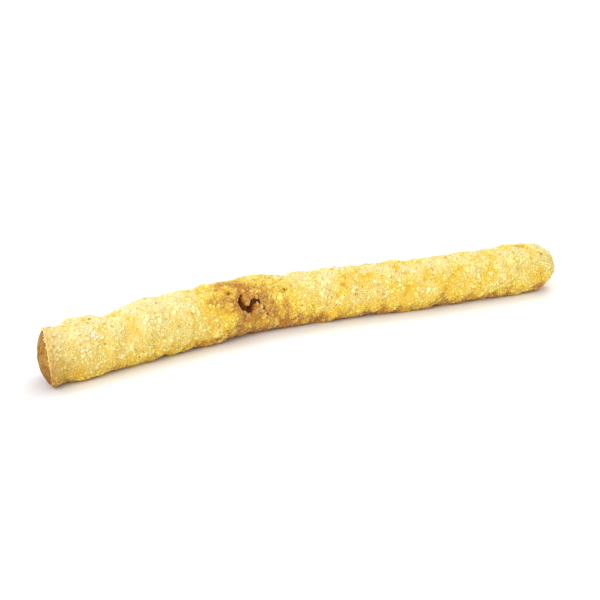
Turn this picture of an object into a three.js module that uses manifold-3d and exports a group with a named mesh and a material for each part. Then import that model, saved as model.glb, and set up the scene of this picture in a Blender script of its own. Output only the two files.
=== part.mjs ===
// A grissini breadstick: one slim hand-rolled stick of baked dough in a cornmeal coat.
//
// Millimetres, +Z up. X runs along the stick from its cut end (-X) to its rounded tip (+X),
// +Y is the outside of its bow, and it lies on the plane z = 0.
// "Distance" is always measured along the stick from the middle of the cut face's rim.

import * as THREE from 'three';
import { mergeVertices } from 'three/addons/utils/BufferGeometryUtils.js';
import Module from 'manifold-3d';

const wasm = await Module();
wasm.setup();

// ---- The roll of dough ----
const ROLL_LENGTH = 156;
// [distance, thickness]: a knob and a waist behind the cut end, the thick part, then a slow taper.
const THICKNESS = [
  [0, 14.9], [5, 14.2], [9, 15.5], [14, 14.9], [19, 14.0], [27, 14.9], [37, 15.5], [48, 15.3],
  [62, 14.9], [76, 14.2], [92, 13.7], [108, 14.0], [124, 13.4], [140, 13.8], [156, 13.2],
];
const ASPECT_WIDE = 1.02;           // the section is a little wider than it is high
const ASPECT_HIGH = 0.98;
const TRAY_SINK = 0.5;              // how far the underside has settled on the baking tray
const TIP_LENGTH = 8.5;             // over which the rounded tip closes
const TIP_FULLNESS = 0.85;          // below 1 the tip is blunter than an ellipse

// ---- Its wander, seen from above: [distance, turn towards -Y in radians, softness] ----
const BENDS = [[67, 0.36, 13], [118, -0.12, 16]];

// ---- The cut end: a slanted face that has puffed into a low dome ----
const SLANT_ACROSS = 0.62;          // set back by this much for each millimetre towards +Y
const SLANT_UP = -0.14;             // and, negative, further out for each millimetre up
const SLANT_REACH = 26;             // the slant has died away at this distance
const DOME_HEIGHT = 2.3;
const DOME_FULLNESS = 0.8;

// ---- Lumps in the dough: [wavelength along the stick, waves around it, height, phase] ----
const LUMPS = [
  [31, 1, 0.20, 0.4], [19, 2, 0.14, 2.1], [12.5, 1, 0.12, 4.4], [9.3, 3, 0.10, 1.2],
  [7.1, 2, 0.08, 5.3], [5.6, 4, 0.07, 3.0], [4.4, 3, 0.05, 0.9],
];

// ---- The crack, a hooked split with a hollow at its bend, round a raised lump on the -Y side ----
const CRACK_DISTANCE = 59;
const CRACK_ANGLE = THREE.MathUtils.degToRad(154);
// [along, up] of the split's middle line, from the crack's centre.
const CRACK_LINE = [
  [-2.0, 2.2], [-3.0, 1.2], [-3.1, 0.3], [-2.6, -0.9], [-1.4, -1.4], [-0.3, -1.2], [0.5, -0.1],
  [1.4, 0.2], [2.9, -0.1],
];
const CRACK_RADIUS = 0.65;
const CRACK_STEPS = 18;
const CRACK_ARC_SEGMENTS = 4;
const HOLLOW_PLACE = [-0.3, -1.6];  // along and up, from the crack's centre
const HOLLOW_RADIUS = 1.15;
const CRACK_LUMP_HEIGHT = 0.5;
const CRACK_LUMP_RADIUS = 2.4;

// ---- Facets of the roll ----
const SIDES = 34;
const DOME_RINGS = 5;
const STATION_STEP = 1.9;
const TIP_RINGS = 8;

// ---- The largest crumbs and flakes of the coat ----
const CRUMB_COUNT = 112;
const CRUMB_LENGTH = [0.55, 1.15];  // half lengths, least and most
const CRUMB_THICKNESS = 0.55;       // of its half length
const CRUMB_BREADTH = [0.6, 1];     // of its half length, least and most
const CRUMB_RAGGED = 0.22;
const CRUMB_SCATTER = 0.15;         // of the stick's length
const CRUMB_FLOOR = 1.6;            // no crumb's middle lies lower than this
const CRUMB_FIRST = 2;              // the cut face is bare
const CRUMB_CRACK_CLEARANCE = 5;

const SEED = 20611;
const MERGE_DISTANCE = 1e-4;
const FULL_TURN = 2 * Math.PI;
const GOLDEN_RATIO = (Math.sqrt(5) - 1) / 2;

/** A seeded source of numbers from 0 to 1. */
function seededRandom(seed) {
  let state = seed;
  return () => {
    state = (state + 0x6d2b79f5) | 0;
    let mixed = Math.imul(state ^ (state >>> 15), 1 | state);
    mixed = (mixed + Math.imul(mixed ^ (mixed >>> 7), 61 | mixed)) ^ mixed;
    return ((mixed ^ (mixed >>> 14)) >>> 0) / 4294967296;
  };
}

/** Thickness of the roll at a distance, eased between the listed places. */
function thicknessAt(distance) {
  const next = THICKNESS.findIndex(([place]) => place > distance);
  if (next < 0) return THICKNESS.at(-1)[1];
  if (next === 0) return THICKNESS[0][1];
  const [start, from] = THICKNESS[next - 1];
  const [end, to] = THICKNESS[next];
  return from + (to - from) * THREE.MathUtils.smoothstep(distance, start, end);
}

/** How far the tip has closed at a distance: 1 along the roll, 0 at its end. */
function tipClosing(distance) {
  const along = Math.max(0, (distance - (ROLL_LENGTH - TIP_LENGTH)) / TIP_LENGTH);
  return Math.max(0, 1 - along ** 2) ** (TIP_FULLNESS / 2);
}

/** Sideways wander of the middle line: straight runs joined by soft bends, both ends at y = 0. */
function wanderAt(distance) {
  const bent = (place) => BENDS.reduce((sum, [middle, turn, softness]) =>
    sum - (turn / 2) * softness * Math.log(Math.cosh((place - middle) / softness)), 0);
  const chord = THREE.MathUtils.lerp(bent(0), bent(ROLL_LENGTH), distance / ROLL_LENGTH);
  return bent(distance) - chord;
}

/** Direction of the middle line in the plane, in radians from +X towards +Y. */
function headingAt(distance) {
  const step = 0.5;
  return Math.atan2(wanderAt(distance + step) - wanderAt(distance - step), 2 * step);
}

/** Height of the middle line, so that the underside stays on the tray. */
function middleHeight(distance) {
  return (thicknessAt(distance) / 2) * ASPECT_HIGH - TRAY_SINK;
}

/** Outward relief of the dough at a distance and an angle round the section. */
function reliefAt(distance, angle) {
  let relief = 0;
  for (const [wavelength, around, height, phase] of LUMPS) {
    relief += height * Math.sin((FULL_TURN * distance) / wavelength + around * angle + phase);
  }
  const along = distance - CRACK_DISTANCE;
  const around = (angle - CRACK_ANGLE) * (thicknessAt(CRACK_DISTANCE) / 2);
  const spread = (along ** 2 + around ** 2) / CRACK_LUMP_RADIUS ** 2;
  return relief + CRACK_LUMP_HEIGHT * Math.exp(-spread);
}

/** Radius of the dough's surface, relief included. Angle 0 faces +Y and a quarter turn faces up. */
function surfaceRadius(distance, angle) {
  const closing = tipClosing(distance);
  return (thicknessAt(distance) / 2 + reliefAt(distance, angle)) * closing;
}

/** Puts a point of the straight roll, given by distance, radius and angle, on the real one. */
function placeOnStick(distance, radius, angle, target = new THREE.Vector3()) {
  const station = Math.max(0, distance);
  const across = radius * Math.cos(angle) * ASPECT_WIDE;
  const up = radius * Math.sin(angle) * ASPECT_HIGH;
  const heading = headingAt(station);
  const slant = SLANT_ACROSS * across + SLANT_UP * up;
  const setBack = slant * (1 - THREE.MathUtils.smoothstep(station, 0, SLANT_REACH));
  const bulge = Math.max(0, -distance) / Math.hypot(1, SLANT_ACROSS, SLANT_UP);
  const forward = setBack - bulge;
  const side = across + bulge * SLANT_ACROSS;
  target.set(
    station - ROLL_LENGTH / 2 + forward * Math.cos(heading) - side * Math.sin(heading),
    wanderAt(station) + forward * Math.sin(heading) + side * Math.cos(heading),
    Math.max(0, middleHeight(station) + up + bulge * SLANT_UP),
  );
  return target;
}

/** A closed mesh as a solid that can be joined and cut. */
function toSolid(geometry) {
  const bare = geometry.clone();
  bare.deleteAttribute('normal');
  bare.deleteAttribute('uv');
  const merged = mergeVertices(bare, MERGE_DISTANCE);
  return new wasm.Manifold(new wasm.Mesh({
    numProp: 3,
    vertProperties: new Float32Array(merged.attributes.position.array),
    triVerts: new Uint32Array(merged.index.array),
  }));
}

/** A finished solid as a geometry with flat facets. */
function toGeometry(solid) {
  const mesh = solid.getMesh();
  const geometry = new THREE.BufferGeometry();
  geometry.setAttribute('position', new THREE.BufferAttribute(mesh.vertProperties, 3));
  geometry.setIndex(new THREE.BufferAttribute(mesh.triVerts, 1));
  geometry.computeVertexNormals();
  return geometry;
}

/** The roll's outline from the point of the tip to the middle of the domed cut face. */
function rollOutline() {
  const outline = [];
  const cutRadius = thicknessAt(0) / 2;
  for (let ring = 0; ring < DOME_RINGS; ring += 1) {
    const share = ring / DOME_RINGS;
    outline.push(new THREE.Vector2(cutRadius * share, -DOME_HEIGHT * (1 - share ** 2) ** DOME_FULLNESS));
  }
  const straight = ROLL_LENGTH - TIP_LENGTH;
  const stations = Math.round(straight / STATION_STEP);
  for (let station = 0; station <= stations; station += 1) {
    const distance = (straight * station) / stations;
    outline.push(new THREE.Vector2(thicknessAt(distance) / 2, distance));
  }
  for (let ring = 1; ring <= TIP_RINGS; ring += 1) {
    const distance = straight + TIP_LENGTH * Math.sin((Math.PI / 2) * (ring / TIP_RINGS));
    const radius = ring === TIP_RINGS ? 0 : (thicknessAt(distance) / 2) * tipClosing(distance);
    outline.push(new THREE.Vector2(radius, distance));
  }
  return outline.reverse();
}

/** The roll of dough: a turned blank, then bowed, slanted, lumped and settled on the tray. */
function rollSolid() {
  const blank = new THREE.LatheGeometry(rollOutline(), SIDES);
  const places = blank.attributes.position;
  const point = new THREE.Vector3();
  for (let index = 0; index < places.count; index += 1) {
    point.fromBufferAttribute(places, index);
    const distance = point.y;
    const angle = Math.atan2(point.z, point.x);
    const station = Math.max(0, distance);
    const fullRadius = (thicknessAt(station) / 2) * tipClosing(station);
    const swelling = fullRadius > 0 ? surfaceRadius(station, angle) / fullRadius : 1;
    placeOnStick(distance, Math.hypot(point.x, point.z) * swelling, angle, point);
    places.setXYZ(index, point.x, point.y, point.z);
  }
  return toSolid(blank);
}

/** A point of the surface, given along and up from the crack's centre. */
function placeByCrack([along, up]) {
  const distance = CRACK_DISTANCE + along;
  const angle = CRACK_ANGLE - up / (thicknessAt(distance) / 2);
  return placeOnStick(distance, surfaceRadius(distance, angle), angle);
}

/** The tool that opens the crack: a thin tube along the hooked line and a ball at its bend. */
function crackSolid() {
  const section = new THREE.Shape().absarc(0, 0, CRACK_RADIUS, 0, FULL_TURN);
  const split = new THREE.ExtrudeGeometry(section, {
    extrudePath: new THREE.CatmullRomCurve3(CRACK_LINE.map(placeByCrack)),
    steps: CRACK_STEPS,
    curveSegments: CRACK_ARC_SEGMENTS,
    bevelEnabled: false,
  });
  const hollow = new THREE.IcosahedronGeometry(HOLLOW_RADIUS, 1);
  hollow.translate(...placeByCrack(HOLLOW_PLACE).toArray());
  return toSolid(split).add(toSolid(hollow));
}

/** One ragged flake of the coat, half sunk in the dough. */
function crumbSolid(distance, angle, random) {
  const halfLength = THREE.MathUtils.lerp(...CRUMB_LENGTH, random() ** 2);
  const breadth = halfLength * THREE.MathUtils.lerp(...CRUMB_BREADTH, random());
  const turn = random() * FULL_TURN;
  const crumb = new THREE.IcosahedronGeometry(1, 0);
  crumb.deleteAttribute('normal');
  crumb.deleteAttribute('uv');
  const ragged = mergeVertices(crumb, MERGE_DISTANCE);
  const corners = ragged.attributes.position;
  const corner = new THREE.Vector3();
  for (let index = 0; index < corners.count; index += 1) {
    corner.fromBufferAttribute(corners, index).multiplyScalar(1 + CRUMB_RAGGED * (2 * random() - 1));
    const long = corner.x * halfLength;
    const wide = corner.y * breadth;
    const along = long * Math.cos(turn) - wide * Math.sin(turn);
    const around = -long * Math.sin(turn) - wide * Math.cos(turn);
    const radius = surfaceRadius(distance, angle);
    const out = corner.z * halfLength * CRUMB_THICKNESS;
    const cornerAngle = angle + Math.atan2(around, radius + out);
    placeOnStick(distance + along, Math.hypot(around, radius + out), cornerAngle, corner);
    corners.setXYZ(index, corner.x, corner.y, corner.z);
  }
  return toSolid(ragged);
}

/** Crumbs spread evenly over the coat by a golden-ratio walk, clear of the tray and the crack. */
function crumbSolids() {
  const random = seededRandom(SEED);
  const last = ROLL_LENGTH - TIP_LENGTH / 2;
  const crumbs = [];
  const middle = new THREE.Vector3();
  for (let step = 0; crumbs.length < CRUMB_COUNT; step += 1) {
    const share = (step * GOLDEN_RATIO + CRUMB_SCATTER * random()) % 1;
    const distance = THREE.MathUtils.lerp(CRUMB_FIRST, last, share);
    const angle = FULL_TURN * ((step + random()) / CRUMB_COUNT);
    placeOnStick(distance, surfaceRadius(distance, angle), angle, middle);
    const along = distance - CRACK_DISTANCE;
    const around = Math.atan2(Math.sin(angle - CRACK_ANGLE), Math.cos(angle - CRACK_ANGLE));
    const fromCrack = Math.hypot(along, around * (thicknessAt(distance) / 2));
    if (middle.z < CRUMB_FLOOR || fromCrack < CRUMB_CRACK_CLEARANCE) continue;
    crumbs.push(crumbSolid(distance, angle, random));
  }
  return crumbs;
}

/** The whole stick, moved so that the middle of its outline stands on the origin. */
function breadstickGeometry() {
  const dough = rollSolid().subtract(crackSolid());
  const geometry = toGeometry(wasm.Manifold.union([dough, ...crumbSolids()]));
  geometry.computeBoundingBox();
  const middle = geometry.boundingBox.getCenter(new THREE.Vector3());
  return geometry.translate(-middle.x, -middle.y, 0);
}

function breadstick() {
  const bakedCoat = new THREE.MeshStandardMaterial({ color: 0xe8c267, roughness: 0.9, metalness: 0 });
  const stick = new THREE.Mesh(breadstickGeometry(), bakedCoat);
  stick.name = 'breadstick';
  return stick;
}

const part = new THREE.Group();
part.add(breadstick());

export default part;
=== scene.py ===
"""A grissini breadstick: a bowed, hand-rolled stick of baked dough in a coat of yellow cornmeal.

The dough is shaped in millimetres and handed to Blender in metres. X runs from the cut end to the
rounded tip, +Y is the outside of the bow and the stick lies on z = 0. Distances are measured along
the stick from its cut end, and angles round it from +Y, so that a quarter turn faces up.
"""

import dataclasses
import itertools
import math

import bpy
import numpy as np
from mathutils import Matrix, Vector


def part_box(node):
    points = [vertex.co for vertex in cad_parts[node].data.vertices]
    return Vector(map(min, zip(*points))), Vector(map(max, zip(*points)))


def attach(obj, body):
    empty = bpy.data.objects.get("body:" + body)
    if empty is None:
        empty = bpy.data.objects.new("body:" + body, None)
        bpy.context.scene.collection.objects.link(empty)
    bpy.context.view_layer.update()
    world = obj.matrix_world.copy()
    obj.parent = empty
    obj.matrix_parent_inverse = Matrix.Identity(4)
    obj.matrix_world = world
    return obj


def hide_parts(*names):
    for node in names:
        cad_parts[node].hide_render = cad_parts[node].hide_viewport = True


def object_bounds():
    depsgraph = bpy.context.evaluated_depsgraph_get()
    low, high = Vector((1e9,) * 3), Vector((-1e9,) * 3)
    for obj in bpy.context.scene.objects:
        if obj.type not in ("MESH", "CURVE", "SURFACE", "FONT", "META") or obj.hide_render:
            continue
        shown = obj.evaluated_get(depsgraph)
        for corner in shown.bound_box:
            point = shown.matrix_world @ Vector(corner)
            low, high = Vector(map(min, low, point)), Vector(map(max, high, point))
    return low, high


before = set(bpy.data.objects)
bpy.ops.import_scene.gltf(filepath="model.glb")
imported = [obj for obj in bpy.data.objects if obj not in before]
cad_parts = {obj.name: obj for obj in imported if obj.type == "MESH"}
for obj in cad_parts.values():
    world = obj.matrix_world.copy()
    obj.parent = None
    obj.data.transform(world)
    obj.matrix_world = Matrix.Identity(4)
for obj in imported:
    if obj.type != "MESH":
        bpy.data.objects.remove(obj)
solid_low, solid_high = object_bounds()

MM = 0.001
TURN = 2 * math.pi
TINY = 0.001                # the least number that is divided by

# ---- The roll of dough, in millimetres, as the solid has it ----
ROLL_LENGTH = 156.0
THICKNESS = [  # distance, thickness
    (0, 14.9), (5, 14.2), (9, 15.5), (14, 14.9), (19, 14.0), (27, 14.9), (37, 15.5), (48, 15.3),
    (62, 14.9), (76, 14.2), (92, 13.7), (108, 14.0), (124, 13.4), (140, 13.8), (156, 13.2),
]
ASPECT_WIDE, ASPECT_HIGH = 1.02, 0.98
TRAY_SINK = 0.5
TIP_LENGTH = 8.5
TIP_FULLNESS = 0.85
BENDS = [(67, 0.36, 13), (118, -0.12, 16)]  # distance, turn towards -Y in radians, softness
SLANT_ACROSS, SLANT_UP, SLANT_REACH = 0.62, -0.14, 26
DOME_HEIGHT, DOME_FULLNESS = 2.3, 0.8
LUMPS = [  # wavelength along the stick, waves around it, height, phase
    (31, 1, 0.20, 0.4), (19, 2, 0.14, 2.1), (12.5, 1, 0.12, 4.4), (9.3, 3, 0.10, 1.2),
    (7.1, 2, 0.08, 5.3), (5.6, 4, 0.07, 3.0), (4.4, 3, 0.05, 0.9),
]

# ---- The crack: along and up from its middle, and half width ----
CRACK_DISTANCE, CRACK_ANGLE = 59.0, math.radians(154)
CRACK_LINE = [
    (-2.0, 2.2, 0.4), (-3.0, 1.2, 0.85), (-3.1, 0.3, 1.05), (-2.6, -0.9, 1.0), (-1.4, -1.3, 0.75),
    (-0.4, -2.2, 0.8), (-0.2, -1.3, 1.4), (0.5, -0.1, 0.95), (1.4, 0.2, 0.85), (2.9, -0.1, 0.5),
]
PITS = [(4.2, -2.3, 0.5), (5.7, -3.8, 0.4), (12.7, 2.2, 0.45), (2.6, 1.3, 0.4), (-5.6, 3.4, 0.35)]
CRACK_LUMP_HEIGHT, CRACK_LUMP_RADIUS = 0.5, 2.4
CRACK_STEEPNESS = 1.35      # depth for each millimetre of half width
CRACK_RAGGED = [(1.1, 0.2), (0.5, 0.14)]  # size and reach of the tears along its edge
CRACK_SIDES = (1.1, 0.5)    # half widths from its middle at which the crust ends and the floor begins
CRACK_LIP = 0.14            # how far the crust has lifted beside it
LIP_INSIDE, LIP_OUTSIDE = (0.8, 1.3), (2.4, 1.5)  # half widths between which the lip rises, and falls away
CRACK_FLOOR = (0.6, 0.4)    # size and share of the crumbly bumps inside it

# ---- What the oven and the cornmeal add to the surface, in millimetres ----
COAT_THICKNESS = 0.35       # the step from the coat to the bare cut face
COAT_UNEVEN = (1.6, 0.5)    # size and share of the change in that step
LIP_WIDTH = 0.3
DOME_WRINKLES = [(2.6, 0.16), (0.9, 0.1)]  # size and height
FACE_EDGE_POWER = 6         # the higher, the nearer its edge the face's wrinkles and pores die away
PORES = [(1.6, 0.35), (0.9, 0.25)]  # spacing and depth
PORE_RAGGED = (0.6, 0.16)   # size and reach
PORE_SIDES = (1.0, 1.2)     # clump heights at which a pore starts and is fully open
PORE_SPARSE, PORE_PAINTED_SHADE = 0.45, 0.8  # how unevenly the pores are spread, and how much painted shade darkens them
CRUST_PATCH, CRUST_HEIGHT = 3.6, 0.16  # where the coat has caked thicker
CRUST_GRAIN = [(0.9, 0.1), (0.5, 0.07)]  # size and height
COAT_CLUMPS = [(4.2, 0.28), (2.1, 0.3), (1.2, 0.16)]  # size and height
CLUMP_SEED = 90
CLUMP_LEVEL = 0.6           # clumps above it stand out and gaps below it sink in
CLUMP_SPREAD = 0.75         # how far a clump reaches, in its sizes, squared

# ---- Browning, partly painted shade and painted light: shares from 0 to 1 ----
SCORCH_START, SCORCH = 0.66, 0.5  # how far out on the cut face its edge has browned, and how much
CUT_TAN_REACH = 4.4         # millimetres over which the tan at the cut fades to about a third
CUT_TAN_UNEVEN, CUT_TAN_LOW = 0.45, 0.3  # how uneven that is, and how much further it reaches low down
TOAST_LEAST, TOAST_PATCHES = 0.08, 0.25  # how much all of it has toasted, and its patches besides
TOAST_AND_SHADE_GAPS, TOAST_AND_SHADE_CRACK = 0.3, 0.3  # the same for the gaps between clumps and round the crack, each partly toast and partly painted shade
TOAST_AND_SHADE_LOW, TOAST_AND_SHADE_LOWEST = 0.28, 0.5  # how much the lower side is browned, partly toast and partly painted shade, and its lowest part besides
PATCHES_START = (30, 55)    # distances between which the toasted patches set in
BROWNED_AND_PAINTED_LIGHT = [  # browned by the oven, round the crack partly painted shade, and painted light below 0: distance, degrees round it, reach, strength
    (62, 156, 12, 0.6), (59, 205, 6, 0.22), (52, 108, 7, 0.24), (97, 70, 8, 0.2), (121, 165, 7, 0.22),
    (88, 290, 10, 0.3), (140, 95, 7, 0.2), (41, 112, 7, 0.1), (12, 222, 5, -0.22), (35, 168, 5, -0.14),
]
MIDDLE_RADIUS = 7.2
GIRTH = TURN * MIDDLE_RADIUS

# ---- Facets of the dough ----
COLUMNS = 144
CRACK_CROWDING = 0.45       # how far the columns draw together on the crack's side
STATION_STEP = 0.26
CRACK_STATION_STEP = 0.13
CRACK_REACH = 5.0
DOME_RINGS = 32
TIP_RINGS = 36

NOISE_CELLS = 32            # after which the noise repeats


# ---------------------------------------------------------------- shape of the stick

def eased(value, low, high):
    """0 at low, 1 at high and an S-curve between. Low may be the larger."""
    share = np.clip((value - low) / (high - low), 0, 1)
    return share * share * (3 - 2 * share)


def thickness_at(distance):
    thickness = np.full(np.shape(distance), float(THICKNESS[0][1]))
    for (start, before), (end, after) in itertools.pairwise(THICKNESS):
        thickness += (after - before) * eased(distance, start, end)
    return thickness


def tip_closing(distance):
    """1 along the roll, falling to 0 at the rounded tip's end."""
    share = np.clip((distance - (ROLL_LENGTH - TIP_LENGTH)) / TIP_LENGTH, 0, 1)
    return (1 - share ** 2) ** (TIP_FULLNESS / 2)


def wander_at(distance):
    """Sideways place of the middle line, with both ends at y = 0."""
    def bent(place):
        return sum(-turn / 2 * soft * np.log(np.cosh((place - middle) / soft))
                   for middle, turn, soft in BENDS)
    start, end = bent(0.0), bent(ROLL_LENGTH)
    return bent(distance) - (start + (end - start) * distance / ROLL_LENGTH)


def heading_at(distance):
    step = 0.5
    return np.arctan2(wander_at(distance + step) - wander_at(distance - step), 2 * step)


def on_roll(distance, angle):
    """Points of an even straight roll, on which noise runs round without a seam."""
    return np.stack(np.broadcast_arrays(
        distance, MIDDLE_RADIUS * np.cos(angle), MIDDLE_RADIUS * np.sin(angle)), axis=-1)


def blobs(points, size, seed):
    """Smooth noise from -1 to 1 whose blobs are about size across."""
    lattice = np.random.default_rng(seed).uniform(-1, 1, (NOISE_CELLS,) * 3)
    scaled = points / size
    cell = np.floor(scaled).astype(int)
    share = scaled - cell
    share = share * share * (3 - 2 * share)
    total = np.zeros(points.shape[:-1])
    for corner in itertools.product((0, 1), repeat=3):
        weight = np.prod(np.where(corner, share, 1 - share), axis=-1)
        total += weight * lattice[tuple(np.moveaxis((cell + corner) % NOISE_CELLS, -1, 0))]
    return total


def clumps(points, size, seed):
    """Rounded clumps about size across: 1 at the middle of each and 0 in the gaps between them."""
    offsets = np.random.default_rng(seed).random((NOISE_CELLS,) * 3 + (3,))
    scaled = points / size
    cell = np.floor(scaled).astype(int)
    nearest = np.full(points.shape[:-1], np.inf)
    for step in itertools.product((-1, 0, 1), repeat=3):
        corner = cell + step
        middle = corner + offsets[tuple(np.moveaxis(corner % NOISE_CELLS, -1, 0))]
        nearest = np.minimum(nearest, np.sum((scaled - middle) ** 2, axis=-1))
    return np.clip(1 - nearest / CLUMP_SPREAD, 0, 1)


def places_from(distance, angle, middle, side):
    """Places on the unrolled surface from a point of it: along the stick, and up on the near side."""
    around = np.arctan2(np.sin(angle - side), np.cos(angle - side))
    return np.stack(np.broadcast_arrays(distance - middle, -around * MIDDLE_RADIUS), axis=-1)


def crack_places(distance, angle):
    return places_from(distance, angle, CRACK_DISTANCE, CRACK_ANGLE)


def nearest_split(distance, angle):
    """Distance to the crack or a pit, in half widths of it, and that half width."""
    points = on_roll(distance, angle)
    places = crack_places(distance, angle)
    for seed, (size, reach) in enumerate(CRACK_RAGGED, start=50):
        torn = [blobs(points, size, seed), blobs(points, size, seed + 5)]
        places = places + reach * np.stack(torn, axis=-1)
    nearest = np.full(places.shape[:-1], np.inf)
    width = np.ones(places.shape[:-1])
    for start, end in [*itertools.pairwise(CRACK_LINE), *zip(PITS, PITS)]:
        foot, run = np.array(start[:2]), np.subtract(end, start)[:2]
        share = np.clip((places - foot) @ run / max(run @ run, TINY), 0, 1)
        half = start[2] + share * (end[2] - start[2])
        away = np.linalg.norm(places - foot - share[..., None] * run, axis=-1) / half
        width = np.where(away < nearest, half, width)
        nearest = np.minimum(nearest, away)
    return nearest, width


def crack_opening(distance, angle):
    """How far the crust has split, from 0 to 1."""
    return eased(nearest_split(distance, angle)[0], *CRACK_SIDES)


def caked(distance, angle):
    """Where the coat has caked thicker, from 0 to 1."""
    return eased(blobs(on_roll(distance, angle), CRUST_PATCH, seed=60), -0.5, 0.6)


def crust_relief(distance, angle):
    """The coat's own clumps and grain."""
    points = on_roll(distance, angle)
    relief = CRUST_HEIGHT * (caked(distance, angle) - 0.5)
    for seed, (size, height) in enumerate(CRUST_GRAIN):
        relief = relief + height * blobs(points, size, seed)
    for seed, (size, height) in enumerate(COAT_CLUMPS, start=CLUMP_SEED):
        relief = relief + height * (clumps(points, size, seed) - CLUMP_LEVEL)
    return relief


def crack_relief(distance, angle):
    """The lump that the crack runs round, its lifted lips and its depth."""
    spread = np.sum(crack_places(distance, angle) ** 2, axis=-1) / CRACK_LUMP_RADIUS ** 2
    nearest, width = nearest_split(distance, angle)
    lip = eased(nearest, *LIP_OUTSIDE) * eased(nearest, *LIP_INSIDE)
    size, share = CRACK_FLOOR
    crumbly = 1 + share * blobs(on_roll(distance, angle), size, seed=56)
    depth = CRACK_STEEPNESS * width * eased(nearest, *CRACK_SIDES) * crumbly
    return CRACK_LUMP_HEIGHT * np.exp(-spread) + CRACK_LIP * lip - depth


def dough_radius(distance, angle):
    relief = sum(height * np.sin(TURN * distance / wavelength + around * angle + phase)
                 for wavelength, around, height, phase in LUMPS)
    relief = relief + crack_relief(distance, angle) + crust_relief(distance, angle)
    return (thickness_at(distance) / 2 + relief) * tip_closing(distance)


def place_on_stick(distance, radius, angle):
    """Bends, slants and settles points of the straight roll. Distances below 0 are on the dome."""
    station = np.maximum(0, distance)
    across = radius * np.cos(angle) * ASPECT_WIDE
    up = radius * np.sin(angle) * ASPECT_HIGH
    heading = heading_at(station)
    set_back = (SLANT_ACROSS * across + SLANT_UP * up) * (1 - eased(station, 0, SLANT_REACH))
    bulge = np.maximum(0, -distance) / math.hypot(1, SLANT_ACROSS, SLANT_UP)
    forward = set_back - bulge
    side = across + bulge * SLANT_ACROSS
    middle_height = thickness_at(station) / 2 * ASPECT_HIGH - TRAY_SINK
    return np.stack([
        station - ROLL_LENGTH / 2 + forward * np.cos(heading) - side * np.sin(heading),
        wander_at(station) + forward * np.sin(heading) + side * np.cos(heading),
        np.maximum(0, middle_height + up + bulge * SLANT_UP),
    ], axis=-1)


def browning_and_painted_light(distance, angle):
    """Above 0 where the coat is browner, from the oven and round the crack partly from painted shade, and
    below 0 where painted light makes it paler.
    """
    total = 0
    for middle, side, reach, strength in BROWNED_AND_PAINTED_LIGHT:
        away = np.sum(places_from(distance, angle, middle, math.radians(side)) ** 2, axis=-1)
        total = total + strength * np.exp(-away / reach ** 2)
    return total


def near_cut(distance, angle):
    """1 at the cut, where the coat has dried to tan, falling to 0 along the stick, soonest on top."""
    noise = blobs(on_roll(distance, angle), 2.4, seed=88)
    uneven = 1 + CUT_TAN_UNEVEN * noise - CUT_TAN_LOW * np.sin(angle)
    return np.exp(-distance / (CUT_TAN_REACH * uneven))


def toast_and_painted_light_at(distance, angle, height):
    """How brown the coat is, from 0 to 1: toasted in patches, and low down, in gaps and round the crack
    partly toasted and partly painted shade, with painted light in a few spots.
    """
    points = on_roll(distance, angle)
    patches = eased(blobs(points, 7, seed=70) + 0.9 * blobs(points, 2.4, seed=71), 0.0, 1.0)
    patches = patches * eased(distance, *PATCHES_START)
    # Browned spots: the oven's browning, partly painted shade round the crack, and painted light where below
    # 0.
    marked = browning_and_painted_light(distance, angle) * (1 + 0.5 * blobs(points, 3.2, seed=74))
    mottle = 0.12 * blobs(points, 2.3, seed=73) + marked
    # Browner in the gaps between clumps: partly toast, partly painted shade in the crevices.
    gaps = sum(TOAST_AND_SHADE_GAPS * (0.7 - clumps(points, size, seed))
               for seed, (size, _) in enumerate(COAT_CLUMPS[:2], start=CLUMP_SEED))
    # Browner low down: partly the underside's toast, partly painted shade under the stick.
    lowest = TOAST_AND_SHADE_LOWEST * eased(height, 4, 0.3) * (0.7 + 0.3 * blobs(points, 5, seed=72))
    low_down = TOAST_AND_SHADE_LOW * eased(height, 8, 2) + lowest
    # Browner round the crack: partly toast, partly painted shade.
    crack = eased(nearest_split(distance, angle)[0], 2.8, 1)
    toast = TOAST_LEAST + TOAST_PATCHES * patches + mottle + gaps + low_down + TOAST_AND_SHADE_CRACK * crack
    return np.clip(toast, 0, 1)


# ---------------------------------------------------------------- meshes

def to_metres(points):
    """Metres in the row's frame, moved so that the roll's outline is centred on the solid's."""
    return points * MM + stick_shift


def mesh_piece(name, points, faces, marks, material, smooth):
    """A mesh object in the row frame that rides on the stick, with one number per vertex for each mark."""
    mesh = bpy.data.meshes.new(name)
    mesh.from_pydata(to_metres(points).tolist(), [], faces)
    for mark, values in marks.items():
        mesh.attributes.new(mark, "FLOAT", "POINT").data.foreach_set("value", values.astype(np.float32))
    mesh.polygons.foreach_set("use_smooth", np.full(len(mesh.polygons), smooth))
    mesh.materials.append(material)
    piece = bpy.data.objects.new(name, mesh)
    bpy.context.collection.objects.link(piece)
    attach(piece, "root")
    return piece


def closed_rings(rings, first_pole, last_pole):
    """Points and faces of a closed skin: rings of equal count, then the two poles."""
    ring_count, columns = rings.shape[:2]
    points = np.concatenate([rings.reshape(-1, 3), [first_pole, last_pole]])
    here = np.arange(columns)
    after = (here + 1) % columns
    faces = []
    for ring in range(ring_count - 1):
        low, high = ring * columns, (ring + 1) * columns
        faces += np.stack([low + here, low + after, high + after, high + here], axis=1).tolist()
    first, last = ring_count * columns, ring_count * columns + 1
    faces += np.stack([np.full(columns, first), after, here], axis=1).tolist()
    end = (ring_count - 1) * columns
    faces += np.stack([np.full(columns, last), end + here, end + after], axis=1).tolist()
    return points, faces


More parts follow.
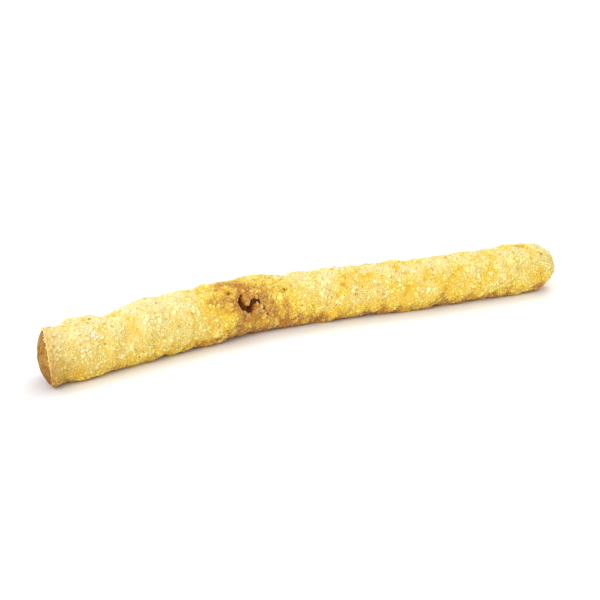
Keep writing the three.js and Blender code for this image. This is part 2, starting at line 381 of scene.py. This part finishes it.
def roll_stations():
    """Distances of the rings along the roll, closer together at the crack."""
    straight = ROLL_LENGTH - TIP_LENGTH
    near, far = CRACK_DISTANCE - CRACK_REACH, CRACK_DISTANCE + CRACK_REACH
    runs = [(LIP_WIDTH, near, STATION_STEP), (near, far, CRACK_STATION_STEP), (far, straight, STATION_STEP)]
    stations = [np.linspace(start, end, round((end - start) / step), endpoint=False)
                for start, end, step in runs]
    tip = straight + TIP_LENGTH * np.sin(np.linspace(0, TURN / 4, TIP_RINGS, endpoint=False))
    return np.concatenate([*stations, tip])


def column_angles():
    """Angles round the section, closer together on the crack's side."""
    even = np.linspace(0, TURN, COLUMNS, endpoint=False)
    return even - CRACK_CROWDING * np.sin(even - CRACK_ANGLE)


def cut_face(angles):
    """Rings of the domed cut face from near its middle out, and how dark its pores (painted shade) and
    scorched edge are.
    """
    shares = np.linspace(0, 1, DOME_RINGS + 1)[1:, None]
    start = np.zeros_like(angles)
    size, share = COAT_UNEVEN
    uneven = 1 + share * blobs(on_roll(start, angles), size, seed=85)
    edge = dough_radius(start, angles) - COAT_THICKNESS * uneven
    across, up = shares * edge * np.cos(angles), shares * edge * np.sin(angles)
    spots = np.stack([np.zeros_like(across), across, up], axis=-1)
    inside = 1 - shares ** FACE_EDGE_POWER
    bulge = DOME_HEIGHT * (1 - shares ** 2) ** DOME_FULLNESS
    for seed, (size, height) in enumerate(DOME_WRINKLES, start=80):
        bulge = bulge + inside * height * blobs(spots, size, seed)
    opened = np.zeros_like(bulge)
    size, reach = PORE_RAGGED
    torn = spots + reach * np.stack([blobs(spots, size, seed) for seed in (95, 96, 97)], axis=-1)
    for seed, (size, depth) in enumerate(PORES, start=82):
        clump = clumps(torn, size, seed) + PORE_SPARSE * blobs(spots, 2 * size, seed)
        pore = inside * eased(clump, *PORE_SIDES)
        bulge = np.maximum(0, bulge - depth * pore)
        opened = np.maximum(opened, PORE_PAINTED_SHADE * pore)
    low_side = eased(blobs(spots, 2.2, seed=87) - 0.6 * np.sin(angles), -0.6, 0.6)
    opened = np.maximum(opened, SCORCH * eased(shares, SCORCH_START, 1) * low_side)
    return place_on_stick(-bulge, edge * shares, angles), opened


def dough_skin():
    """Rings of the whole skin, from the middle of the cut face to the tip, with the marks of each point."""
    angles = column_angles()[None, :]
    ragged = LIP_WIDTH / 3 * (1 + blobs(on_roll(np.zeros_like(angles), angles), 0.9, seed=86))
    lip = place_on_stick(ragged, dough_radius(ragged, angles) - COAT_THICKNESS / 3, angles)
    stations = roll_stations()[:, None]
    roll = place_on_stick(stations, dough_radius(stations, angles), angles)
    face, darkened = cut_face(angles)
    rings = np.concatenate([face, lip, roll])
    # The toast mark holds painted shade as well as toasting; the opening mark is painted shade in the crack
    # and pores and the scorch at the cut face's edge.
    marks = {name: np.zeros(rings.shape[:2]) for name in ("bare", "near_cut", "opening", "toast")}
    marks["bare"][:len(face)] = 1
    marks["near_cut"][len(face)] = 1
    coat = slice(len(face) + 1, None)
    marks["near_cut"][coat] = near_cut(stations, angles)
    marks["opening"][:len(face)] = darkened
    marks["opening"][coat] = crack_opening(stations, angles)
    marks["toast"][coat] = toast_and_painted_light_at(stations, angles, roll[..., 2])
    return rings, marks


def dough_body(material):
    rings, marks = dough_skin()
    nothing = np.array(0.0)
    cut_middle = place_on_stick(np.array(-DOME_HEIGHT), nothing, nothing)
    tip_end = place_on_stick(np.array(ROLL_LENGTH), nothing, nothing)
    points, faces = closed_rings(rings, cut_middle, tip_end)
    marks = {name: np.append(values.ravel(), [values[0, 0], values[-1, 0]]) for name, values in marks.items()}
    piece = mesh_piece("baked_dough", points, faces, marks, material, smooth=True)
    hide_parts("breadstick")


def stick_outline_shift():
    """How far to move the roll so that the middle of its outline stands where the solid's does."""
    points = dough_skin()[0].reshape(-1, 3) * MM
    middle = (points.min(axis=0) + points.max(axis=0)) / 2
    low, high = (np.array(corner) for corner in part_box("breadstick"))
    shift = (low + high) / 2 - middle
    return np.array([shift[0], shift[1], 0.0])


# ---------------------------------------------------------------- cornmeal and crumbs

GOLDEN = (1 + math.sqrt(5)) / 2
ICOSAHEDRON = np.array([corner for a, b in itertools.product((-1, 1), (-GOLDEN, GOLDEN))
                        for corner in ((0, a, b), (a, b, 0), (b, 0, a))]) / math.hypot(1, GOLDEN)
OCTAHEDRON = np.array([(1, 0, 0), (-1, 0, 0), (0, 1, 0), (0, -1, 0), (0, 0, 1), (0, 0, -1)], float)


@dataclasses.dataclass
class Crumb:
    """One kind of crumb: its solid, and in millimetres or shares how it is sized, laid and spread."""
    name: str
    solid: np.ndarray
    count: int
    half_length: tuple      # least and most
    flatness: float         # thickness as a share of the length
    sunk: float             # how deep its middle lies, in half thicknesses, or how high below 0
    ragged: float
    patches: tuple          # least and most share kept, and the size of the patches
    caking: float           # how much it keeps to where the coat has caked, from 0 to 1
    seed: int
    clusters: tuple = ()    # distance, degrees round the stick, reach and count


FINE_CORNMEAL = Crumb("fine_cornmeal", OCTAHEDRON, 24500, (0.2, 0.4), 0.8, 0.1, 0.35, (0.8, 1.0, 9), 0, 11)
COARSE_CORNMEAL = Crumb(
    "coarse_cornmeal", ICOSAHEDRON, 10500, (0.3, 0.75), 0.6, 0.1, 0.34, (0.6, 1.0, 7), 0.4, 12)
PALE_FLAKES = Crumb("pale_flakes", ICOSAHEDRON, 1500, (0.4, 0.95), 0.4, 0.2, 0.5, (0.0, 1.0, 6), 0.6, 13, (
    (34, 75, 2.5, 12), (83, 128, 2.2, 12), (112, 40, 3, 14), (133, 150, 2.5, 12), (150, 100, 2.5, 14),
    (70, 250, 3, 14)))
FLOUR_SPECKS = Crumb("flour_specks", ICOSAHEDRON, 40, (0.3, 0.6), 0.65, -0.25, 0.4, (0.0, 1.0, 6), 0.6, 15, (
    (12.1, 137, 0.7, 14), (9.6, 164, 0.6, 10), (108, 120, 1.0, 9), (78, 330, 1.2, 9)))
TOASTED_CRUMBS = Crumb("toasted_crumbs", ICOSAHEDRON, 1500, (0.3, 0.7), 0.6, 0.3, 0.3, (0.0, 0.8, 6), 0, 14, (
    (58, 88, 3.5, 24), (100, 120, 3, 10), (128, 60, 3, 10)))
SMALLER_BELOW = 1.8         # crumbs near the tray are smaller
LIFTED_ABOVE = 0.25         # and there are none lower than this
OFF_THE_TRAY = 0.02         # the least height of a crumb's corner
SMALL_ONES = 1.6            # above 1, most crumbs of a kind are nearer its least size
CRUMB_BREADTH = (0.5, 0.95)  # least and most, as a share of the length
CRUMB_TILT = 0.22
CRACK_THINS = (0.6, 0.25)   # openings of the crust at which no crumbs and all crumbs are left
ROUNDED_FROM = 0.5          # flatness above which a crumb is a rounded grit and not a sharp flake


def hull_faces(corners):
    """Triangles of a regular solid: every three corners that are nearest neighbours, facing out."""
    apart = np.linalg.norm(corners[:, None] - corners[None], axis=-1)
    edge = apart[apart > 0].min() * 1.01
    faces = []
    for trio in itertools.combinations(range(len(corners)), 3):
        if all(apart[a, b] < edge for a, b in itertools.combinations(trio, 2)):
            a, b, c = corners[list(trio)]
            faces.append(trio if np.cross(b - a, c - a) @ a > 0 else trio[::-1])
    return np.array(faces)


def spread_out(kind, random):
    """Even but unruly places on the coat: one in each cell of a grid, thinned in patches."""
    columns = round(math.sqrt(kind.count * GIRTH / ROLL_LENGTH))
    rows = math.ceil(kind.count / columns)
    row, column = np.divmod(np.arange(rows * columns), columns)
    share = (row + random.random(len(row))) / rows
    distance = share * ROLL_LENGTH
    angle = (column + random.random(len(row))) / columns * TURN
    least, most, size = kind.patches
    patch = eased(blobs(on_roll(distance, angle), size, kind.seed + 20), -0.6, 0.6)
    kept_share = (least + (most - least) * patch) * (1 - kind.caking * (1 - caked(distance, angle)))
    kept = random.random(len(row)) < kept_share
    return distance[kept], angle[kept]


def clustered(kind, random):
    """Places where many of a kind stuck together."""
    distance, angle = [], []
    for middle, side, reach, count in kind.clusters:
        distance.append(random.normal(middle, reach, count))
        angle.append(math.radians(side) + random.normal(0, reach, count) / MIDDLE_RADIUS)
    return np.concatenate([[], *distance]), np.concatenate([[], *angle])


def scatter(kind, random):
    """Places of one kind of crumb, clear of the cut, the tip's very end and the crack."""
    distance, angle = np.concatenate([spread_out(kind, random), clustered(kind, random)], axis=1)
    on_coat = (distance > 0) & (distance < ROLL_LENGTH)
    whole = random.random(len(distance)) < eased(crack_opening(distance, angle), *CRACK_THINS)
    return distance[on_coat & whole], angle[on_coat & whole]


def surface_frames(distance, angle):
    """Points of the surface with the direction along the stick, across it and outwards."""
    step = 0.35
    last = ROLL_LENGTH - 0.01

    def at(along, around):
        place = np.minimum(distance + along, last)
        facing = angle + around / MIDDLE_RADIUS
        return place_on_stick(place, dough_radius(place, facing), facing)

    along = at(step, 0) - at(-step, 0)
    around = at(0, step) - at(0, -step)
    out = np.cross(around, along)
    along /= np.linalg.norm(along, axis=1, keepdims=True)
    out /= np.linalg.norm(out, axis=1, keepdims=True)
    return at(0, 0), along, np.cross(out, along), out


def turned(first, second, angle):
    """Two coordinates turned in their plane by an angle for each crumb."""
    cosine, sine = np.cos(angle)[:, None], np.sin(angle)[:, None]
    return first * cosine - second * sine, first * sine + second * cosine


def crumb_corners(kind, height, random):
    """Corners of each crumb in its own frame: along the stick, across it and outwards."""
    count = len(height)
    least, most = kind.half_length
    size = least + (most - least) * random.random(count) ** SMALL_ONES
    size = size * (0.45 + 0.55 * eased(height, 0.2, SMALLER_BELOW))
    jitter = 1 + kind.ragged * random.uniform(-1, 1, (count, len(kind.solid), 1))
    stretch = np.stack([size, size * random.uniform(*CRUMB_BREADTH, count), size * kind.flatness], axis=-1)
    long, wide, high = np.moveaxis(kind.solid[None] * jitter * stretch[:, None], -1, 0)
    long, high = turned(long, high, random.normal(0, CRUMB_TILT, count))
    long, wide = turned(long, wide, random.uniform(0, TURN, count))
    return long, wide, high - kind.sunk * (size * kind.flatness)[:, None]


def crumbs(kind, material):
    """One joined mesh of ragged crumbs lying on the surface, each with its own tone."""
    random = np.random.default_rng(kind.seed)
    places = scatter(kind, random)
    placed = [*places, *surface_frames(*places)]
    clear = placed[2][:, 2] > LIFTED_ABOVE
    distance, angle, point, along, across, out = (values[clear] for values in placed)
    long, wide, high = crumb_corners(kind, point[:, 2], random)
    points = (point[:, None] + long[..., None] * along[:, None] + wide[..., None] * across[:, None]
              + high[..., None] * out[:, None])
    points[..., 2] = np.maximum(points[..., 2], OFF_THE_TRAY)
    count, corner_count = len(point), len(kind.solid)
    faces = (np.arange(count)[:, None, None] * corner_count + hull_faces(kind.solid)[None]).reshape(-1, 3)
    marks = {"tone": random.random(count), "toast": toast_and_painted_light_at(distance, angle, point[:, 2]),
             "near_cut": near_cut(distance, angle)}
    marks = {name: np.repeat(values, corner_count) for name, values in marks.items()}
    rounded = kind.flatness > ROUNDED_FROM
    mesh_piece(kind.name, points.reshape(-1, 3), faces.tolist(), marks, material, smooth=rounded)


# ---------------------------------------------------------------- materials

def colour(red, green, blue):
    """A colour from 0 to 255 in sRGB as linear light."""
    def linear(value):
        share = value / 255
        return share / 12.92 if share <= 0.04045 else ((share + 0.055) / 1.055) ** 2.4
    return (*map(linear, (red, green, blue)), 1.0)


class Wire:
    """An output socket on which arithmetic adds Math nodes."""

    def __init__(self, bench, socket):
        self.bench, self.socket = bench, socket

    def math(self, operation, *values):
        return self.bench.add("ShaderNodeMath", {"operation": operation}, dict(enumerate(values)))

    def __add__(self, other):
        return self.math("ADD", self, other)

    __radd__ = __add__

    def __rsub__(self, other):
        return self.math("SUBTRACT", other, self)

    def __mul__(self, other):
        return self.math("MULTIPLY", self, other)

    __rmul__ = __mul__

    def between(self, low, high):
        """0 below low, 1 above high and an S-curve between."""
        return self.bench.add("ShaderNodeMapRange", {"interpolation_type": "SMOOTHSTEP"},
                              {"Value": self, "From Min": low, "From Max": high})


class Bench:
    """One material's nodes."""

    def __init__(self, name):
        self.material = bpy.data.materials.new(name)
        self.material.use_nodes = True
        self.nodes, self.links = self.material.node_tree.nodes, self.material.node_tree.links
        self.nodes.clear()

    def add(self, kind, settings=None, inputs=None, output=0):
        """Adds a node: its settings first, then the values or wires of its sockets."""
        node = self.nodes.new(kind)
        for name, value in (settings or {}).items():
            setattr(node, name, value)
        for name, value in (inputs or {}).items():
            if isinstance(value, Wire):
                self.links.new(value.socket, node.inputs[name])
            else:
                node.inputs[name].default_value = value
        return Wire(self, node.outputs[output])

    def place(self):
        return self.add("ShaderNodeTexCoord", output="Object")

    def mark(self, name):
        return self.add("ShaderNodeAttribute", {"attribute_name": name}, output="Fac")

    def height(self):
        return self.add("ShaderNodeSeparateXYZ", inputs={0: self.place()}, output="Z")

    def mottle(self, size_mm, detail=3.0, roughness=0.6):
        """Noise from 0 to 1 whose patches are about size_mm across."""
        return self.add("ShaderNodeTexNoise", inputs={
            "Vector": self.place(), "Scale": 1 / (size_mm * MM), "Detail": detail, "Roughness": roughness})

    def blend(self, share, low, high):
        return self.add("ShaderNodeMix", {"data_type": "RGBA"}, {0: share, 6: low, 7: high}, output=2)

    def baked(self, pale, gold, brown):
        """The coat's colour: whitened on top by a painted highlight, gold to brown with the toast mark, which
        holds toast and painted shade, and tan at the cut with a pale rim painted as a highlight.
        """
        toast, near_cut, height = self.mark("toast"), self.mark("near_cut"), self.height()
        # Painted highlight: the top of the coat is whitened as if the light washed it out.
        pale = self.blend(height.between(8 * MM, 15 * MM) * 0.35, pale, colour(250, 244, 206))
        coat = self.blend(toast.between(0.0, 0.6), pale, gold)
        coat = self.blend(toast.between(0.45, 1.0), coat, brown)
        tan = self.blend(height.between(0, 4 * MM), colour(134, 78, 20), colour(176, 120, 26))
        tan = self.blend(height.between(4 * MM, 14 * MM), tan, colour(222, 184, 106))
        coat = self.blend(near_cut * 0.85, coat, tan)
        # Painted highlight: a pale line along the rim at mid-height, where light catches the coat's proud
        # edge.
        rim = near_cut.between(0.86, 1.0) * height.between(3 * MM, 8 * MM)
        return self.blend(rim * 0.7, coat, colour(247, 212, 138))

    def patchy(self, pale):
        """A colour of the coat, tan in some patches and lemon in others."""
        pale = self.blend(self.mottle(3.4, 4.0).between(0.44, 0.6) * 0.65, pale, colour(228, 195, 104))
        return self.blend(self.mottle(5.5, 2.0).between(0.5, 0.62) * 0.5, pale, colour(242, 229, 138))

    def bump(self, height, depth_mm):
        return self.add("ShaderNodeBump", inputs={
            "Strength": 1.0, "Distance": depth_mm * MM, "Height": height})

    def finish(self, **sockets):
        """The surface shader, with its sockets named by words joined by underscores."""
        inputs = {name.replace("_", " ").title().replace("Ior", "IOR"): value
                  for name, value in sockets.items()}
        surface = self.add("ShaderNodeBsdfPrincipled", inputs=inputs)
        out = self.nodes.new("ShaderNodeOutputMaterial")
        self.links.new(surface.socket, out.inputs["Surface"])
        return self.material


def dough_material():
    """Golden crust, browner where toasted and with painted shade, darkened by painted shade in the crack and
    the pores, and with a pale rim painted as a highlight round the brown cut face.
    """
    bench = Bench("golden_crust")
    bare, opening = bench.mark("bare"), bench.mark("opening")
    crust = bench.blend(bench.mottle(3.2).between(0.35, 0.65), colour(221, 190, 92), colour(233, 211, 122))
    crust = bench.blend(bench.mottle(0.9).between(0.4, 0.7) * 0.5, crust, colour(206, 165, 70))
    crust = bench.blend(bench.mottle(0.4, 2.0).between(0.5, 0.62) * 0.5, crust, colour(242, 226, 150))
    crust = bench.baked(crust, colour(231, 186, 56), colour(182, 122, 40))
    baked = bench.blend(bench.mottle(1.8, 5.0).between(0.35, 0.65), colour(134, 91, 28), colour(170, 127, 48))
    baked = bench.blend(bench.mottle(0.7, 3.0).between(0.5, 0.7) * 0.6, baked, colour(190, 150, 76))
    low_down = 1 - bench.height().between(1.0 * MM, 8.0 * MM)
    baked = bench.blend(low_down * 0.7, baked, colour(112, 66, 20))
    surface = bench.blend(bare, crust, baked)
    # Painted shade darkens the crack and the pores; on the cut face the same mark also browns its scorched
    # edge.
    surface = bench.blend(opening.between(0.1, 0.55), surface, colour(144, 88, 34))
    inside = bench.blend(bench.mottle(0.7, 3.0).between(0.4, 0.7), colour(92, 42, 10), colour(126, 70, 26))
    surface = bench.blend(opening.between(0.5, 1.0), surface, inside)
    fine = bench.mottle(0.35, 4.0) + 0.6 * bench.mottle(0.16, 2.0)
    return bench.finish(
        base_color=surface, roughness=0.92 - 0.1 * bare,
        normal=bench.bump(fine, 0.09), subsurface_weight=0.12,
        subsurface_radius=(1.0, 0.55, 0.2), subsurface_scale=0.0008, specular_ior_level=0.2)


def cornmeal_material():
    bench = Bench("yellow_cornmeal")
    tone = bench.mark("tone")
    grain = bench.blend(tone.between(0.0, 0.45), colour(235, 209, 114), colour(243, 228, 146))
    grain = bench.blend(tone.between(0.6, 1.0), grain, colour(245, 236, 174))
    gold = bench.blend(tone, colour(238, 201, 58), colour(250, 224, 88))
    brown = bench.blend(tone, colour(184, 128, 44), colour(212, 162, 68))
    grain = bench.baked(bench.patchy(grain), gold, brown)
    return bench.finish(
        base_color=grain, roughness=0.72 + 0.2 * bench.mottle(0.5),
        normal=bench.bump(bench.mottle(0.22, 2.0), 0.04), subsurface_weight=0.2,
        subsurface_radius=(1.0, 0.6, 0.25), subsurface_scale=0.0006,
        sheen_weight=0.6, sheen_roughness=0.4)


def flake_material():
    bench = Bench("pale_flakes")
    flake = bench.blend(bench.mark("tone"), colour(241, 224, 144), colour(247, 238, 182))
    flake = bench.blend(bench.mottle(0.6).between(0.4, 0.7) * 0.5, flake, colour(236, 210, 120))
    flake = bench.baked(flake, colour(241, 220, 112), colour(222, 180, 88))
    return bench.finish(
        base_color=flake, roughness=0.7 + 0.2 * bench.mottle(0.7),
        normal=bench.bump(bench.mottle(0.3, 2.0), 0.05), subsurface_weight=0.25,
        subsurface_radius=(1.0, 0.65, 0.3), subsurface_scale=0.0007,
        sheen_weight=0.6, sheen_roughness=0.4)


def flour_material():
    bench = Bench("white_flour")
    speck = bench.blend(bench.mark("tone"), colour(244, 228, 180), colour(251, 242, 214))
    speck = bench.blend(bench.mark("toast"), speck, colour(240, 214, 150))
    return bench.finish(
        base_color=speck, roughness=0.85 + 0.1 * bench.mottle(0.7),
        normal=bench.bump(bench.mottle(0.3, 2.0), 0.05), subsurface_weight=0.2,
        subsurface_radius=(1.0, 0.8, 0.6), subsurface_scale=0.0006)


def toasted_material():
    bench = Bench("toasted_crumbs")
    tone = bench.mark("tone")
    crumb = bench.blend(tone.between(0.0, 0.7), colour(212, 178, 94), colour(194, 154, 78))
    crumb = bench.blend(tone.between(0.92, 1.0), crumb, colour(168, 126, 68))
    return bench.finish(
        base_color=crumb, roughness=0.78 + 0.15 * bench.mottle(0.6),
        normal=bench.bump(bench.mottle(0.25, 2.0), 0.05))


def floor_material():
    bench = Bench("pale_floor")
    cloud = bench.blend(bench.mottle(60.0), colour(244, 245, 247), colour(248, 249, 250))
    return bench.finish(base_color=cloud, roughness=0.7)


# ---------------------------------------------------------------- studio

def floor(half_side):
    corners = [(-half_side, -half_side, 0), (half_side, -half_side, 0),
               (half_side, half_side, 0), (-half_side, half_side, 0)]
    mesh = bpy.data.meshes.new("floor")
    mesh.from_pydata(corners, [], [(0, 1, 2, 3)])
    mesh.materials.append(floor_material())
    piece = bpy.data.objects.new("floor", mesh)
    bpy.context.collection.objects.link(piece)


def direction(azimuth, elevation):
    """Unit vector from the stick towards a viewer: azimuth 0 looks along +Y."""
    turn, rise = math.radians(azimuth), math.radians(elevation)
    return Vector((math.sin(turn) * math.cos(rise), -math.cos(turn) * math.cos(rise), math.sin(rise)))


def aimed(name, data, azimuth, elevation, distance, target=Vector()):
    """An object that looks at a target from a direction."""
    viewer = bpy.data.objects.new(name, data)
    back = direction(azimuth, elevation)
    viewer.location = target + back * distance
    viewer.rotation_mode = "QUATERNION"
    viewer.rotation_quaternion = back.to_track_quat("Z", "Y")
    bpy.context.collection.objects.link(viewer)
    return viewer


def soft_light(name, azimuth, elevation, distance, size, power, tint):
    data = bpy.data.lights.new(name, "AREA")
    data.size, data.energy, data.color = size, power, tint
    aimed(name, data, azimuth, elevation, distance)


def world_light(strength):
    world = bpy.data.worlds.new("bright_room")
    world.use_nodes = True
    background = world.node_tree.nodes["Background"]
    background.inputs["Color"].default_value = (1.0, 1.0, 1.0, 1.0)
    background.inputs["Strength"].default_value = strength
    bpy.context.scene.world = world


def camera(azimuth, elevation, distance, lens):
    data = bpy.data.cameras.new("camera")
    data.lens = lens
    middle = (Vector(solid_low) + Vector(solid_high)) / 2
    bpy.context.scene.camera = aimed("camera", data, azimuth, elevation, distance, middle)


camera(azimuth=-32.5, elevation=17.3, distance=0.562, lens=128)
floor(half_side=2.5)
world_light(0.95)
soft_light("key", azimuth=125, elevation=55, distance=0.8, size=0.4, power=1.5, tint=(1.0, 0.99, 0.97))
soft_light("front_fill", azimuth=-60, elevation=26, distance=1.0, size=0.5, power=4.6, tint=(1.0, 1.0, 1.0))
bpy.context.scene.view_settings.view_transform = "Standard"

stick_shift = stick_outline_shift()
dough_body(dough_material())
cornmeal = cornmeal_material()
crumbs(FINE_CORNMEAL, cornmeal)
crumbs(COARSE_CORNMEAL, cornmeal)
crumbs(PALE_FLAKES, flake_material())
crumbs(FLOUR_SPECKS, flour_material())
crumbs(TOASTED_CRUMBS, toasted_material())
